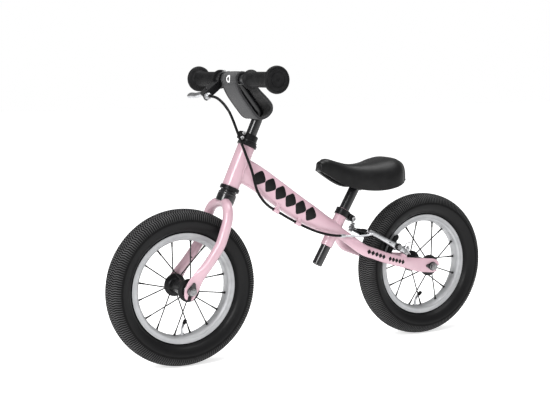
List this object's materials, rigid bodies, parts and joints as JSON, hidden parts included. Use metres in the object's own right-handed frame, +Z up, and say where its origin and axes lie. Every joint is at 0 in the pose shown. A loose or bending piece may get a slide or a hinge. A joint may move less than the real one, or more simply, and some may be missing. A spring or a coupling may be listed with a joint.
{
  "type": "balance bike",
  "caption": "Child's push bike without pedals: curved-leg fork, padded bars, adjustable stem and saddle, pneumatic wheels and a hand-operated rear rim brake.",
  "frame": {"origin": "on the ground midway between the wheels, on the bike's middle plane", "axes": "+X forward, +Y to the rider's left, +Z up; rest pose steers straight ahead"},
  "size_m": [0.908, 0.3512, 0.5996],
  "materials": {
    "pink_paint": "satin pale pink paint",
    "black_metal": "satin black paint",
    "black_alloy": "black anodised alloy",
    "bright_steel": "bright plated steel",
    "silver_alloy": "polished and brushed alloy",
    "black_rubber": "matte moulded rubber",
    "tyre": "matte black tyre rubber",
    "black_plastic": "matte black plastic",
    "saddle_skin": "soft satin black skin over foam",
    "grey_fabric": "dark grey woven fabric"
  },
  "bodies": {
    "frame": {"head_tube": "pink_paint", "main_tube": "pink_paint", "seat_tube": "pink_paint", "left_chainstay": "pink_paint", "right_chainstay": "pink_paint", "lower_headset_cup": "black_alloy", "upper_headset_cup": "black_alloy", "lower_bearing": "bright_steel", "upper_bearing": "bright_steel", "seat_clamp": "black_alloy", "seat_clamp_bolt": "bright_steel", "rear_axle": "bright_steel", "rear_left_nut": "bright_steel", "rear_right_nut": "bright_steel", "rear_left_washer": "black_metal", "rear_right_washer": "black_metal", "left_pivot_bolt": "bright_steel", "right_pivot_bolt": "bright_steel", "housing_on_frame": "black_plastic"},
    "steering": {"fork_crown": "black_metal", "left_fork_leg": "pink_paint", "right_fork_leg": "pink_paint", "steering_collar": "black_alloy", "collar_bolt": "bright_steel", "front_axle": "bright_steel", "front_left_nut": "bright_steel", "front_right_nut": "bright_steel", "front_left_washer": "black_metal", "front_right_washer": "black_metal", "housing_at_head": "black_plastic"},
    "bars": {"stem": "black_metal", "handlebar": "black_metal", "safety_pad": "grey_fabric", "left_grip": "black_rubber", "right_grip": "black_rubber", "lever_perch": "black_alloy", "barrel_adjuster": "silver_alloy", "lever_pin": "bright_steel", "housing_at_bars": "black_plastic"},
    "lever": {"brake_lever": "silver_alloy"},
    "front_wheel": {"front_tyre": "tyre", "front_inner_tube": "black_rubber", "front_rim": "silver_alloy", "front_hub": "black_alloy"},
    "rear_wheel": {"rear_tyre": "tyre", "rear_inner_tube": "black_rubber", "rear_rim": "silver_alloy", "rear_hub": "black_alloy"},
    "saddle": {"seatpost": "black_metal", "saddle_base": "black_plastic", "saddle_cover": "saddle_skin"},
    "left_arm": {"left_brake_arm": "silver_alloy", "left_brake_pad": "black_rubber", "left_spring": "bright_steel", "noodle": "silver_alloy", "rubber_boot": "black_rubber"},
    "right_arm": {"right_brake_arm": "silver_alloy", "right_brake_pad": "black_rubber", "right_spring": "bright_steel", "wire_and_anchor": "bright_steel"}
  },
  "joints": [
    {"name": "steering", "type": "hinge", "parent": "frame", "child": "steering", "pos_m": [0.1846, 0, 0.3564], "axis": [-0.4163, 0, 0.9092], "range_deg": [-45, 45], "deforming": ["housing_at_head"]},
    {"name": "handlebar_height", "type": "slide", "parent": "steering", "child": "bars", "axis": [-0.4163, 0, 0.9092], "range_m": [-0.025, 0.025], "deforming": ["housing_at_bars"]},
    {"name": "brake_lever", "type": "hinge", "parent": "bars", "child": "lever", "pos_m": [0.20476, -0.06, 0.54702], "axis": [-0.6258, 0, -0.78], "range_deg": [0, 20], "stiffness_Nm_per_rad": 0.5, "springref_deg": -5.73},
    {"name": "left_brake_arm", "type": "hinge", "parent": "frame", "child": "left_arm", "pos_m": [-0.22456, 0.04, 0.19693], "axis": [-0.4741, 0, 0.8805], "range_deg": [-3.25, 0], "deforming": ["housing_on_frame", "rubber_boot"]},
    {"name": "right_brake_arm", "type": "hinge", "parent": "frame", "child": "right_arm", "pos_m": [-0.22456, -0.04, 0.19693], "axis": [-0.4741, 0, 0.8805], "range_deg": [0, 3.25]},
    {"name": "front_wheel_spin", "type": "hinge", "parent": "steering", "child": "front_wheel", "pos_m": [0.295, 0, 0.159], "axis": [0, 1, 0], "continuous": true},
    {"name": "rear_wheel_spin", "type": "hinge", "parent": "frame", "child": "rear_wheel", "pos_m": [-0.295, 0, 0.159], "axis": [0, 1, 0], "continuous": true},
    {"name": "saddle_height", "type": "slide", "parent": "frame", "child": "saddle", "axis": [-0.5083, 0, 0.8612], "range_m": [-0.03, 0.07]}
  ],
  "couplings": [
    {"joint": "left_brake_arm", "follows": "brake_lever", "ratio": -0.16},
    {"joint": "right_brake_arm", "follows": "brake_lever", "ratio": 0.16}
  ]
}
